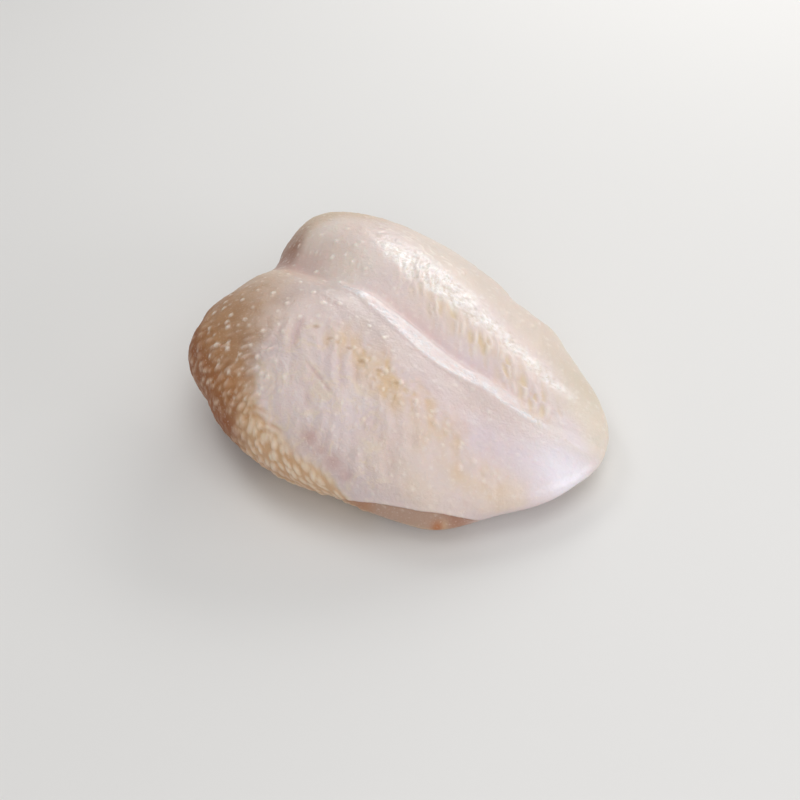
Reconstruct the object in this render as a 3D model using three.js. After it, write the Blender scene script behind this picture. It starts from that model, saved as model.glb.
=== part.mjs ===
// Whole chicken breast, skin on, as one solid resting skin side up.
// Units are millimetres. +X runs along the keel towards the pointed tail end,
// +Z is up, and the origin is at the centre of the underside of the bounding box.

import * as THREE from 'three';
import { mergeVertices } from 'three/addons/utils/BufferGeometryUtils.js';

// ---------------------------------------------------------------- sizes (mm)
const GRID = 26;                 // cells along each side of the six patches

// plan outline: half length and half width, with their harmonics
const HALF_LENGTH = 104.5, LEN_H2 = -0.1038, LEN_H3 = 0.1705, LEN_H4 = 0.0281;
const HALF_WIDTH = 93.24, WID_H2 = -0.0401, WID_H3 = 0.1071, WID_H4 = 0.0056, WID_H5 = -0.0085;
const CENTRE_X = -25.93;         // where the outline's polar centre lies
const SKEW_1 = -13.75, SKEW_2 = -5.57;   // one shoulder lies further forward than the other
const NECK_NOTCH = 41.36, NECK_NOTCH_W = 0.4078;  // cleft between the shoulders, in plan

// height of the widest line above the underside
const GIRTH_Z = 26.0, GIRTH_RISE = -9.5, GIRTH_SIDE = -1.5;
const ROUND_N = 2.029, ROUND_N_ENDS = -0.1, TAIL_FULLNESS = 3.5, ROUND_E = 0.5, ROUND_PEAK = 0.088;   // roundness of the upper surface
const UNDER_N_MIN = 4.0, UNDER_N_MAX = 8.0;     // limits for the roundness of the lower rim
const REST_CUT = 0.95;           // depth of the flat that it rests on

// profile along the keel
const KEEL_H = 83.6, KEEL_SLOPE = 0.4661, KEEL_BREAK_X = -33.25, KEEL_BREAK_W = 32.3;
const VALLEY_D = 6.18, VALLEY_W = 17.1, VALLEY_END_X = 42.75, VALLEY_FADE = 34.2, VALLEY_BIAS = 0.45;
const NECK_D = 7.6, NECK_X = -74.1, NECK_LEN = 24.7, NECK_W = 13.3;
const RIDGE_H = 2.85, RIDGE_W = 5.7, RIDGE_START_X = -58.9, RIDGE_FADE = 8.55;
const SHOULDER_H = 4.75, SHOULDER_X = -38.0, SHOULDER_Y = 34.2, SHOULDER_R = 38.0;
const KEEL_WANDER = [-10.71, 2.232, -0.835], WANDER_X0 = -57.0, WANDER_LEN = 142.5;
const MIN_CROWN = 5.7;           // least height of the crown over the widest line

// gentle bend of the whole in plan, and sideways lean with height
const BEND = 12.14, BEND_LEN = 95.0, BEND_MEAN = 0.3, LEAN = 0.025;

// skin edge with the flesh set back below it, low on one side
const FOLD_U = 5.30, FOLD_T = 1.505, FOLD_DROP = 0.235, FOLD_LEFT = 0.58, FOLD_RIGHT = 0.31;
const FOLD_END_T = 1.97, FOLD_SET_BACK = 1.9, FOLD_RIM = 1.6, FOLD_RIM_U = 5.46, FOLD_RIM_T = 1.88;

// shallow swellings (+) and hollows (-): around, up-down, their half widths, height
const UNEVEN = [
  [0.86, 1.12, 0.12, 0.30, -1.8], [0.62, 1.22, 0.06, 0.30, 1.9], [0.42, 1.35, 0.08, 0.30, -0.8],
  [1.50, 1.05, 0.12, 0.30, 0.5], [3.88, 1.73, 0.07, 0.35, -1.9], [3.72, 1.54, 0.07, 0.30, 1.5],
  [3.57, 1.34, 0.05, 0.25, -1.0], [3.38, 1.12, 0.08, 0.25, -0.8], [2.97, 1.33, 0.06, 0.25, 0.7],
  [4.61, 1.91, 0.08, 0.30, -1.2], [4.88, 1.90, 0.08, 0.30, 0.6], [5.71, 1.81, 0.12, 0.30, -0.9],
  [6.06, 1.70, 0.09, 0.30, -0.9], [4.28, 1.90, 0.06, 0.25, 0.5],
];

// ------------------------------------------------------------------ the form
const softplus = (q) => (q > 30 ? q : Math.log1p(Math.exp(q)));
const bell = (q) => Math.exp(-q * q);
const step = (q) => 1 / (1 + Math.exp(-q));

function keelY(x) {
  const a = Math.PI * (x - WANDER_X0) / WANDER_LEN;
  return KEEL_WANDER.reduce((s, w, i) => s + w * Math.sin((i + 1) * a), 0);
}

// profile along the keel
const keelHeight = (x) => KEEL_H - KEEL_SLOPE * KEEL_BREAK_W * softplus((x - KEEL_BREAK_X) / KEEL_BREAK_W);

// height of the upper surface before it is rounded off towards the outline
function crown(x, yPlan) {
  const y = yPlan - keelY(x);
  const valley = VALLEY_D * step(-2 * (x - VALLEY_END_X) / VALLEY_FADE) * bell(y / VALLEY_W)
    * (1 + VALLEY_BIAS * Math.tanh(y / (RIDGE_W * 1.5)));
  const neck = NECK_D * bell(Math.max(x - NECK_X, 0) / NECK_LEN) * bell(y / NECK_W);
  const ridge = RIDGE_H * bell(y / RIDGE_W) * step((x - RIDGE_START_X) / RIDGE_FADE);
  const shoulders = SHOULDER_H * bell((x - SHOULDER_X) / SHOULDER_R)
    * (bell((y - SHOULDER_Y) / SHOULDER_R) + bell((y + SHOULDER_Y) / SHOULDER_R));
  return keelHeight(x) - valley - neck + ridge + shoulders;
}

// plan outline at the widest line, and that line's height
function outline(u) {
  const c = Math.cos, s = Math.sin;
  const fromNeck = ((u % (2 * Math.PI)) + 2 * Math.PI) % (2 * Math.PI) - Math.PI;
  return {
    X: HALF_LENGTH * (c(u) + LEN_H2 * c(2 * u) + LEN_H3 * c(3 * u) + LEN_H4 * c(4 * u))
      + NECK_NOTCH * bell(fromNeck / NECK_NOTCH_W) + SKEW_1 * s(u) + SKEW_2 * s(2 * u),
    Y: HALF_WIDTH * (s(u) + WID_H2 * s(2 * u) + WID_H3 * s(3 * u) + WID_H4 * s(4 * u) + WID_H5 * s(5 * u)),
    girth: GIRTH_Z + GIRTH_RISE * c(u) + GIRTH_SIDE * s(u),
  };
}

// roundness above and below the widest line, matched so that the curvature runs through it
function roundness(u, { X, girth }) {
  const over = Math.max(keelHeight(CENTRE_X + X) - girth, MIN_CROWN);
  const above = ROUND_N + ROUND_N_ENDS * Math.cos(u) + TAIL_FULLNESS * (0.5 + 0.5 * Math.cos(u)) ** 3;
  const below = Math.min(Math.max(above * (over / girth) ** 2, UNDER_N_MIN), UNDER_N_MAX);
  return { above, below };
}

// smooth body: u goes round the plan, t from the top (0) through the side to the underside (pi)
function body(u, t) {
  const plan = outline(u), { above, below } = roundness(u, plan);
  const rho = Math.sin(t);
  const x = CENTRE_X + rho * plan.X, y = rho * plan.Y;
  let z;
  if (t <= Math.PI / 2) {
    const round = Math.max(1 - rho ** above, 0) ** (ROUND_E + ROUND_PEAK * (1 - rho ** 6));
    z = plan.girth + Math.max(crown(x, y) - plan.girth, MIN_CROWN) * round;
  } else {
    z = plan.girth * (1 - Math.max(1 - rho ** below, 0) ** ROUND_E);
  }
  z = Math.max(z - REST_CUT, 0);
  const along = (x - CENTRE_X) / BEND_LEN;
  return new THREE.Vector3(x, y + BEND * (along * along - BEND_MEAN) + LEAN * z, z);
}

// relief added along the surface normal: unevenness and the set-back below the skin edge
function relief(u, t) {
  const turn = (a) => Math.atan2(Math.sin(a), Math.cos(a));
  let h = 0;
  for (const [u0, t0, wu, wt, rise] of UNEVEN) h += rise * bell(turn(u - u0) / wu) * bell((t - t0) / wt);
  const du = turn(u - FOLD_U), side = du < 0 ? FOLD_LEFT : FOLD_RIGHT;
  const edge = FOLD_T + FOLD_DROP * (du / side) ** 2;
  const reach = step(12 * (1 - Math.abs(du) / side));
  h -= FOLD_SET_BACK * reach * step((t - edge) / 0.012) * step((FOLD_END_T - t) / 0.05);
  h += FOLD_RIM * bell(turn(u - FOLD_RIM_U) / 0.16) * bell((t - FOLD_RIM_T) / 0.12);
  return h;
}

function surface(u, t) {
  const p = body(u, t);
  const h = relief(u, t);
  if (Math.abs(h) < 1e-4 || t < 0.02 || t > Math.PI - 0.02) return p;
  const e = 1e-3;
  const du = body(u + e, t).sub(body(u - e, t));
  const dt = body(u, t + e).sub(body(u, t - e));
  const n = dt.cross(du).normalize();      // outward
  if (p.z <= 0) return p;
  p.addScaledVector(n, h);
  p.z = Math.max(p.z, 0);
  return p;
}

// arc length along each meridian, so that the mesh is spread evenly from top to underside
const RINGS = 361, STEPS = 400;
const spread = [];
for (let i = 0; i < RINGS; i++) {
  const u = 2 * Math.PI * i / (RINGS - 1), arc = [0];
  let last = body(u, 0);
  for (let k = 1; k < STEPS; k++) {
    const p = body(u, Math.PI * k / (STEPS - 1));
    arc.push(arc[k - 1] + p.distanceTo(last));
    last = p;
  }
  const total = arc[STEPS - 1], row = [];
  for (let k = 0, j = 0; k < STEPS; k++) {
    const want = total * k / (STEPS - 1);
    while (j < STEPS - 2 && arc[j + 1] < want) j++;
    row.push(Math.PI * (j + (want - arc[j]) / (arc[j + 1] - arc[j])) / (STEPS - 1));
  }
  spread.push(row);
}
function evenT(u, t) {
  const fu = (((u % (2 * Math.PI)) + 2 * Math.PI) % (2 * Math.PI)) / (2 * Math.PI) * (RINGS - 1);
  const ft = t / Math.PI * (STEPS - 1);
  const i = Math.min(Math.floor(fu), RINGS - 2), k = Math.min(Math.floor(ft), STEPS - 2);
  const a = fu - i, b = ft - k;
  const at = (r) => spread[r][k] * (1 - b) + spread[r][k + 1] * b;
  return at(i) * (1 - a) + at(i + 1) * a;
}

// ------------------------------------------------------------------ the mesh
// six square patches blown up to a sphere of directions, then laid on the surface
const box = new THREE.BoxGeometry(2, 2, 2, GRID, GRID, GRID);
box.deleteAttribute('normal');
box.deleteAttribute('uv');
box.clearGroups();
const geometry = mergeVertices(box, 1e-4);
const pos = geometry.attributes.position;
const low = new THREE.Vector3(Infinity, Infinity, Infinity), high = low.clone().negate();
for (let i = 0; i < pos.count; i++) {
  const warp = (v) => Math.tan(v * Math.PI / 4);
  const d = new THREE.Vector3(warp(pos.getX(i)), warp(pos.getY(i)), warp(pos.getZ(i))).normalize();
  const u = Math.atan2(d.y, d.x), t = Math.acos(THREE.MathUtils.clamp(d.z, -1, 1));
  const p = surface(u, evenT(u, t));
  pos.setXYZ(i, p.x, p.y, p.z);
  low.min(p);
  high.max(p);
}
geometry.translate(-(low.x + high.x) / 2, -(low.y + high.y) / 2, -low.z);
geometry.computeVertexNormals();

const breast = new THREE.Mesh(geometry, new THREE.MeshStandardMaterial({
  color: new THREE.Color(0.86, 0.74, 0.70), roughness: 0.35, metalness: 0.0,
}));
breast.name = 'breast';

const part = new THREE.Group();
part.add(breast);
export default part;
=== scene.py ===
"""The looks of a whole raw chicken breast, skin side up, around its CAD solid.

The skin is one closed mesh. Its form is the CAD form, worked out again from the same named
sizes at a finer pitch, with the skin's own relief added along the surface: follicles, goose
bumps, creases, the fold at the near edge and fine wrinkling. Lengths below are millimetres
in the form's own frame; the mesh is moved to the row frame and turned to metres at the end.
"""

import math

import bpy
import numpy as np
from mathutils import Matrix, Vector


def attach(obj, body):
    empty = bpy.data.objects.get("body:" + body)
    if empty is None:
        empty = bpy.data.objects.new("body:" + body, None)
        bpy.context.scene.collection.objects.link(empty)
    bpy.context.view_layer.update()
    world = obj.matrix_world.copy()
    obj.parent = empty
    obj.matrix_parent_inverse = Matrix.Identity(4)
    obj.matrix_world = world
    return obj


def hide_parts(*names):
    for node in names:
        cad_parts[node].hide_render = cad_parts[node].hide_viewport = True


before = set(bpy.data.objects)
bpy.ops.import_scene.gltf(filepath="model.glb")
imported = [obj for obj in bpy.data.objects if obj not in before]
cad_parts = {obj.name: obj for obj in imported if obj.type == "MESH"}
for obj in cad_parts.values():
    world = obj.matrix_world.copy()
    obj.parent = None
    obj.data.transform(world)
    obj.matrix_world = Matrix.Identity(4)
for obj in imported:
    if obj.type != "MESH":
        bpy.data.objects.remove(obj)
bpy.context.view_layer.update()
PI = math.pi

# ------------------------------------------------------------------ the form, as in CAD
HALF_LENGTH, LEN_H = 104.5, (-0.1038, 0.1705, 0.0281)
HALF_WIDTH, WID_H = 93.24, (-0.0401, 0.1071, 0.0056, -0.0085)
CENTRE_X, SKEW = -25.93, (-13.75, -5.57)
NECK_NOTCH, NECK_NOTCH_W = 41.36, 0.4078
GIRTH_Z, GIRTH_RISE, GIRTH_SIDE = 26.0, -9.5, -1.5
ROUND_N, ROUND_N_ENDS, TAIL_FULLNESS, ROUND_E, ROUND_PEAK = 2.029, -0.1, 3.5, 0.5, 0.088
UNDER_N_MIN, UNDER_N_MAX, REST_CUT = 4.0, 8.0, 0.95
KEEL_H, KEEL_SLOPE, KEEL_BREAK_X, KEEL_BREAK_W = 83.6, 0.4661, -33.25, 32.3
VALLEY_D, VALLEY_W, VALLEY_END_X, VALLEY_FADE, VALLEY_BIAS = 6.18, 17.1, 42.75, 34.2, 0.45
NECK_D, NECK_X, NECK_LEN, NECK_W = 7.6, -74.1, 24.7, 13.3
RIDGE_H, RIDGE_W, RIDGE_START_X, RIDGE_FADE = 2.85, 5.7, -58.9, 8.55
SHOULDER_H, SHOULDER_X, SHOULDER_Y, SHOULDER_R = 4.75, -38.0, 34.2, 38.0
KEEL_WANDER, WANDER_X0, WANDER_LEN = (-10.71, 2.232, -0.835), -57.0, 142.5
MIN_CROWN, BEND, BEND_LEN, BEND_MEAN, LEAN = 5.7, 12.14, 95.0, 0.3, 0.025
FOLD_U, FOLD_T, FOLD_DROP, FOLD_LEFT, FOLD_RIGHT = 5.30, 1.505, 0.235, 0.58, 0.31
FOLD_END_T, FOLD_SET_BACK, FOLD_RIM, FOLD_RIM_U, FOLD_RIM_T = 1.97, 1.9, 1.6, 5.46, 1.88
UNEVEN = (
    (0.86, 1.12, 0.12, 0.30, -1.8), (0.62, 1.22, 0.06, 0.30, 1.9), (0.42, 1.35, 0.08, 0.30, -0.8),
    (1.50, 1.05, 0.12, 0.30, 0.5), (3.88, 1.73, 0.07, 0.35, -1.9), (3.72, 1.54, 0.07, 0.30, 1.5),
    (3.57, 1.34, 0.05, 0.25, -1.0), (3.38, 1.12, 0.08, 0.25, -0.8), (2.97, 1.33, 0.06, 0.25, 0.7),
    (4.61, 1.91, 0.08, 0.30, -1.2), (4.88, 1.90, 0.08, 0.30, 0.6), (5.71, 1.81, 0.12, 0.30, -0.9),
    (6.06, 1.70, 0.09, 0.30, -0.9), (4.28, 1.90, 0.06, 0.25, 0.5),
)

# ------------------------------------------------------------------ the mesh's pitch
PATCH = 192          # cells across the square patch on top, and a quarter of the cells round
SIDE_ROWS = 76       # rows of cells from the patch down to the underside
PATCH_REACH = 0.345  # share of the way from the top to the middle of the underside
UNDER_FROM = 0.655


def bell(q):
    return np.exp(-q * q)


def step(q):
    return 1 / (1 + np.exp(-np.clip(q, -40, 40)))


def ramp(a, b, v):
    t = np.clip((v - a) / (b - a), 0, 1)
    return t * t * (3 - 2 * t)


def turn(a):
    return np.arctan2(np.sin(a), np.cos(a))


def keel_y(x):
    a = PI * (x - WANDER_X0) / WANDER_LEN
    return sum(w * np.sin((i + 1) * a) for i, w in enumerate(KEEL_WANDER))


def keel_height(x):
    q = np.clip((x - KEEL_BREAK_X) / KEEL_BREAK_W, -30, 30)
    return KEEL_H - KEEL_SLOPE * KEEL_BREAK_W * np.log1p(np.exp(q))


def crown(x, y_plan):
    y = y_plan - keel_y(x)
    valley = VALLEY_D * step(-2 * (x - VALLEY_END_X) / VALLEY_FADE) * bell(y / VALLEY_W) * (1 + VALLEY_BIAS * np.tanh(y / (RIDGE_W * 1.5)))
    neck = NECK_D * bell(np.maximum(x - NECK_X, 0) / NECK_LEN) * bell(y / NECK_W)
    ridge = RIDGE_H * bell(y / RIDGE_W) * step((x - RIDGE_START_X) / RIDGE_FADE)
    shoulders = SHOULDER_H * bell((x - SHOULDER_X) / SHOULDER_R) * (bell((y - SHOULDER_Y) / SHOULDER_R) + bell((y + SHOULDER_Y) / SHOULDER_R))
    return keel_height(x) - valley - neck + ridge + shoulders


def outline(u):
    from_neck = u % (2 * PI) - PI
    X = HALF_LENGTH * (np.cos(u) + sum(h * np.cos((i + 2) * u) for i, h in enumerate(LEN_H)))
    X = X + NECK_NOTCH * bell(from_neck / NECK_NOTCH_W) + SKEW[0] * np.sin(u) + SKEW[1] * np.sin(2 * u)
    Y = HALF_WIDTH * (np.sin(u) + sum(h * np.sin((i + 2) * u) for i, h in enumerate(WID_H)))
    return X, Y, GIRTH_Z + GIRTH_RISE * np.cos(u) + GIRTH_SIDE * np.sin(u)


def body(u, t):
    """The smooth form: u goes round the plan, t from the top (0) to the underside (pi)."""
    X, Y, girth = outline(u)
    over = np.maximum(keel_height(CENTRE_X + X) - girth, MIN_CROWN)
    above = ROUND_N + ROUND_N_ENDS * np.cos(u) + TAIL_FULLNESS * (0.5 + 0.5 * np.cos(u)) ** 3
    below = np.clip(above * (over / girth) ** 2, UNDER_N_MIN, UNDER_N_MAX)
    rho = np.sin(t)
    x, y = CENTRE_X + rho * X, rho * Y
    top = girth + np.maximum(crown(x, y) - girth, MIN_CROWN) * np.clip(1 - rho ** above, 0, None) ** (ROUND_E + ROUND_PEAK * (1 - rho ** 6))
    bottom = girth * (1 - np.clip(1 - rho ** below, 0, None) ** 0.5)
    z = np.maximum(np.where(t <= PI / 2, top, bottom) - REST_CUT, 0.0)
    along = (x - CENTRE_X) / BEND_LEN
    return np.stack([x, y + BEND * (along ** 2 - BEND_MEAN) + LEAN * z, z], -1)


# arc length down each meridian, to spread the rows evenly and to measure along the skin
RINGS, STEPS = 361, 400
ring_u = np.linspace(0, 2 * PI, RINGS)
step_t = np.linspace(0, PI, STEPS)
lines = body(*np.meshgrid(ring_u, step_t, indexing="ij"))
arc = np.concatenate([np.zeros((RINGS, 1)), np.cumsum(np.linalg.norm(np.diff(lines, axis=1), axis=2), 1)], 1)
spread = np.array([np.interp(np.linspace(0, 1, STEPS), arc[k] / arc[k, -1], step_t) for k in range(RINGS)])
rim = lines[:, STEPS // 2]
rim_arc = np.concatenate([[0], np.cumsum(np.linalg.norm(np.diff(rim, axis=0), axis=1))])


def table(values, u, v):
    """Reads a RINGS x STEPS table at angle u and at v from 0 to 1."""
    fu = (u % (2 * PI)) / (2 * PI) * (RINGS - 1)
    fv = v * (STEPS - 1)
    i, k = np.minimum(fu.astype(int), RINGS - 2), np.minimum(fv.astype(int), STEPS - 2)
    a, b = fu - i, fv - k
    return (values[i, k] * (1 - b) + values[i, k + 1] * b) * (1 - a) + (values[i + 1, k] * (1 - b) + values[i + 1, k + 1] * b) * a


def skin_grid():
    """A square patch on top, rings down the sides, and rings that halve under it."""
    half = PATCH // 2
    index, us, ss, quads, tris = {}, [], [], [], []
    for i in range(-half, half + 1):
        for j in range(-half, half + 1):
            k = max(abs(i), abs(j))
            if k == 0:
                u = 0.0
            elif i == k:
                u = PI / 4 * j / k
            elif j == k:
                u = PI / 2 - PI / 4 * i / k
            elif i == -k:
                u = PI - PI / 4 * j / k
            else:
                u = -PI / 2 + PI / 4 * i / k
            index[i, j] = len(us)
            us.append(u)
            ss.append(PATCH_REACH * k / half)
    for i in range(-half, half):
        for j in range(-half, half):
            quads.append((index[i, j], index[i + 1, j], index[i + 1, j + 1], index[i, j + 1]))
    # the patch's edge, anticlockwise from its lower right corner
    edge = [index[half, j] for j in range(-half, half)] + [index[i, half] for i in range(half, -half, -1)]
    edge += [index[-half, j] for j in range(half, -half, -1)] + [index[i, -half] for i in range(-half, half)]
    ring, count = edge, 4 * PATCH
    ring_angle = [us[v] for v in edge]

    def new_ring(angles, s):
        start = len(us)
        us.extend(angles)
        ss.extend([s] * len(angles))
        return list(range(start, start + len(angles)))

    for row in range(1, SIDE_ROWS + 1):
        s = PATCH_REACH + (UNDER_FROM - PATCH_REACH) * row / SIDE_ROWS
        nxt = new_ring(ring_angle, s)
        for k in range(count):
            m = (k + 1) % count
            quads.append((ring[k], nxt[k], nxt[m], ring[m]))
        ring = nxt
    plan = [(384, 0.012), (192, 0.030)] + [(192, 0.030 + 0.014 * k) for k in range(1, 12)]
    plan += [(96, 0.205), (96, 0.225), (96, 0.245), (48, 0.270), (48, 0.295), (24, 0.320), (12, 0.335)]
    for want, down in plan:
        s = UNDER_FROM + down
        if want == count:
            nxt = new_ring(ring_angle, s)
            for k in range(count):
                m = (k + 1) % count
                quads.append((ring[k], nxt[k], nxt[m], ring[m]))
        else:
            ring_angle = ring_angle[::2]
            nxt = new_ring(ring_angle, s)
            for k in range(want):
                m = (k + 1) % want
                a, b, c = ring[2 * k], ring[2 * k + 1], ring[(2 * k + 2) % count]
                tris.append((a, nxt[k], b))
                quads.append((b, nxt[k], nxt[m], c))
            count = want
        ring = nxt
    centre = len(us)
    us.append(0.0)
    ss.append(1.0)
    for k in range(count):
        tris.append((ring[k], centre, ring[(k + 1) % count]))
    return np.array(us), np.array(ss), np.array(quads), np.array(tris)


def vertex_normals(P, quads, tris):
    n = np.zeros_like(P)
    for faces in (quads, tris):
        if faces.shape[1] == 4:
            f = np.cross(P[faces[:, 2]] - P[faces[:, 0]], P[faces[:, 3]] - P[faces[:, 1]])
        else:
            f = np.cross(P[faces[:, 1]] - P[faces[:, 0]], P[faces[:, 2]] - P[faces[:, 0]])
        for k in range(faces.shape[1]):
            for c in range(3):
                n[:, c] += np.bincount(faces[:, k], f[:, c], len(P))
    return n / np.maximum(np.linalg.norm(n, axis=1), 1e-12)[:, None]


U, S, QUADS, TRIS = skin_grid()
T = table(spread, U, S)
BASE = body(U, T)
pairs = np.concatenate([QUADS[:, [0, 1]], QUADS[:, [1, 2]], QUADS[:, [2, 3]], QUADS[:, [3, 0]]])
pairs = np.unique(np.sort(pairs, 1), axis=0)
degree = np.maximum(np.bincount(pairs.ravel(), minlength=len(BASE)), 1)


def smooth(P, weight, rounds):
    for _ in range(rounds):
        total = np.zeros_like(P)
        for c in range(P.shape[1]):
            total[:, c] = np.bincount(pairs[:, 0], P[pairs[:, 1], c], len(P)) + np.bincount(pairs[:, 1], P[pairs[:, 0], c], len(P))
        P = P + weight[:, None] * (total / degree[:, None] - P)
    return P


# the widest line is eased, so that it doesn't show as a crease
BASE = smooth(BASE, 0.5 * bell((T - PI / 2) / 0.28) * (BASE[:, 2] > 2.0), 26)
NORMAL = vertex_normals(BASE, QUADS, TRIS)
x, y, z = BASE.T
ALONG = np.interp(U % (2 * PI), ring_u, rim_arc)          # mm round the widest line
girth_arc = table(arc, U, np.full_like(U, 0.5))
DOWN = table(arc, U, T / PI) - girth_arc                  # mm down from the widest line
LATERAL = (y - BEND * (((x - CENTRE_X) / BEND_LEN) ** 2 - BEND_MEAN) - LEAN * z) - keel_y(x)  # off the keel, in plan


# ------------------------------------------------------------------ seeded noise
def hashed(*whole, seed=0):
    h = np.full(whole[0].shape, (seed * 2654435761 + 374761393) & 0xFFFFFFFF, np.uint32)
    for v in whole:
        h = h ^ (v.astype(np.int64) & 0xFFFFFFFF).astype(np.uint32)
        h = h * np.uint32(0x85EBCA6B)
        h = h ^ (h >> np.uint32(13))
        h = h * np.uint32(0xC2B2AE35)
        h = h ^ (h >> np.uint32(16))
    return h.astype(np.float64) / 4294967296.0


def noise(P, size, seed=0):
    """Smooth noise from -1 to 1, with features of about size mm."""
    q = P / size
    i = np.floor(q).astype(np.int64)
    f = q - i
    f = f * f * (3 - 2 * f)
    out = np.zeros(len(P))
    for a in (0, 1):
        for b in (0, 1):
            for c in (0, 1):
                w = (f[:, 0] if a else 1 - f[:, 0]) * (f[:, 1] if b else 1 - f[:, 1]) * (f[:, 2] if c else 1 - f[:, 2])
                out += w * hashed(i[:, 0] + a, i[:, 1] + b, i[:, 2] + c, seed=seed)
    return 2 * out - 1


def cells(a, b, pitch_a, pitch_b, jitter, seed, stagger=0.5):
    """The nearest centre of a staggered, jittered grid over skin coordinates a and b in mm:
    offsets to it in mm, and two random numbers of its own."""
    qb = b / pitch_b
    best = np.full(a.shape, 1e9)
    da, db, r1, r2 = (np.zeros(a.shape) for _ in range(4))
    row0 = np.floor(qb).astype(np.int64)
    for dj in (-1, 0, 1):
        row = row0 + dj
        shift = stagger * (row % 2)
        qa = a / pitch_a - shift
        col0 = np.floor(qa).astype(np.int64)
        for di in (-1, 0, 1):
            col = col0 + di
            ca = (col + 0.5 + shift + jitter * (hashed(col, row, seed=seed) - 0.5)) * pitch_a
            cb = (row + 0.5 + jitter * (hashed(col, row, seed=seed + 1) - 0.5)) * pitch_b
            ea, eb = a - ca, b - cb
            d = (ea / pitch_a) ** 2 + (eb / pitch_b) ** 2
            near = d < best
            best = np.where(near, d, best)
            da, db = np.where(near, ea, da), np.where(near, eb, db)
            r1 = np.where(near, hashed(col, row, seed=seed + 2), r1)
            r2 = np.where(near, hashed(col, row, seed=seed + 3), r2)
    return da, db, r1, r2


def dome(d):
    return np.clip(1 - d * d, 0, None) ** 1.5


def along_line(points):
    """Distance in mm from each vertex to a line through points on the skin, and how far along it (0 to 1)."""
    p = np.array(points, float)
    seg = np.linalg.norm(np.diff(p, axis=0), axis=1)
    start = np.concatenate([[0], np.cumsum(seg)])
    best, where = np.full(len(BASE), 1e9), np.zeros(len(BASE))
    for k in range(len(p) - 1):
        d = p[k + 1] - p[k]
        t = np.clip(((BASE - p[k]) @ d) / (d @ d), 0, 1)
        dist = np.linalg.norm(BASE - p[k] - t[:, None] * d, axis=1)
        near = dist < best
        best, where = np.where(near, dist, best), np.where(near, (start[k] + t * seg[k]) / start[-1], where)
    return best, where


def on_skin(points, lift=0.0):
    """Points given as (x, y) in plan, put on the upper skin."""
    out = []
    upper = (T < PI / 2)
    for px, py in points:
        k = np.argmin(np.where(upper, (x - px) ** 2 + (y - py) ** 2, 1e9))
        out.append(BASE[k] + lift * NORMAL[k])
    return out


def rounded(points, rounds=2):
    """Corner cutting, so that a line of few points runs smoothly."""
    p = np.array(points, float)
    for _ in range(rounds):
        q = [p[0]]
        for a, b in zip(p[:-1], p[1:]):
            q += [0.75 * a + 0.25 * b, 0.25 * a + 0.75 * b]
        p = np.array(q + [p[-1]])
    return p


# ------------------------------------------------------------------ regions of the skin
UP = U % (2 * PI)
fresh = noise(BASE, 14, 3) * 0.6 + noise(BASE, 6, 4) * 0.4   # blurs the regions' edges
ACROSS = 0.84 * x + 0.54 * y                                 # across the skin's pleats
PLEAT_WAY = -0.54 * x + 0.84 * y                             # and along them

# browned skin: round the near shoulder, then a band low on the near side
tan_from = np.interp(UP, [3.1, 3.3, 3.5, 3.7, 3.88, 3.97, 4.04, 4.08, 4.13, 4.17, 4.22, 4.37, 4.46, 4.59, 4.73, 4.9, 5.1],
                     [1.15, 0.70, 0.46, 0.33, 0.42, 0.66, 0.80, 0.87, 0.97, 1.08, 1.12, 1.17, 1.23, 1.33, 1.48, 1.75, 2.3])
tan_soft = np.interp(UP, [3.3, 3.85, 4.05, 4.2, 4.35, 4.7], [0.60, 0.60, 0.22, 0.22, 0.30, 0.24])
uneven_edge = 0.07 * noise(BASE, 6.5, 6) + 0.05 * noise(BASE, 2.8, 7)
browned = ramp(0, 1, (T - tan_from + 0.05 * fresh + uneven_edge) / tan_soft) * ramp(2.95, 3.35, UP) * ramp(5.2, 4.9, UP)
# the same on the side away from the view, lower down
far_from = np.interp(UP, [0.8, 1.2, 1.8, 2.4, 2.8, 3.1], [1.9, 1.66, 1.58, 1.5, 1.35, 1.3])
browned_far = ramp(0, 1, (T - far_from + 0.05 * fresh) / 0.25) * ramp(0.8, 1.3, UP) * ramp(3.15, 2.95, UP)

bumpy_from = np.interp(UP, [3.1, 3.4, 3.7, 3.9, 4.0, 4.08, 4.14, 4.2, 4.37, 4.46, 4.59, 4.73, 4.9, 5.1],
                       [1.62, 1.5, 1.32, 1.08, 0.92, 0.98, 1.08, 1.14, 1.21, 1.25, 1.33, 1.5, 1.75, 2.3])
goose = ramp(-0.09, 0.20, T - bumpy_from + 0.06 * fresh) * ramp(3.0, 3.3, UP) * ramp(5.2, 4.9, UP)
goose = np.clip(goose + 0.8 * browned_far, 0, 1) * ramp(2.35, 2.1, T)


def plan_line(points):
    """Signed plan distance from a line (plus on the far side) and the share of the way along it."""
    p = rounded(points)
    seg = np.linalg.norm(np.diff(p, axis=0), axis=1)
    start = np.concatenate([[0], np.cumsum(seg)])
    best, off, at = np.full(len(x), 1e9), np.zeros(len(x)), np.zeros(len(x))
    for k in range(len(p) - 1):
        dx, dy = p[k + 1] - p[k]
        along = ((x - p[k, 0]) * dx + (y - p[k, 1]) * dy) / (dx * dx + dy * dy)
        t = np.clip(along, 0, 1)
        ex, ey = x - p[k, 0] - t * dx, y - p[k, 1] - t * dy
        d = np.hypot(ex, ey)
        near = d < best
        best = np.where(near, d, best)
        off = np.where(near, d * np.sign(dx * ey - dy * ex), off)
        at = np.where(near, (start[k] + t * seg[k]) / start[-1], at)
    return off, at


above = ramp(1.72, 1.5, T)

# ------------------------------------------------------------------ relief
relief = np.zeros(len(BASE))
for u0, t0, wu, wt, rise in UNEVEN:
    relief += rise * bell(turn(U - u0) / wu) * bell((T - t0) / wt)

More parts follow.
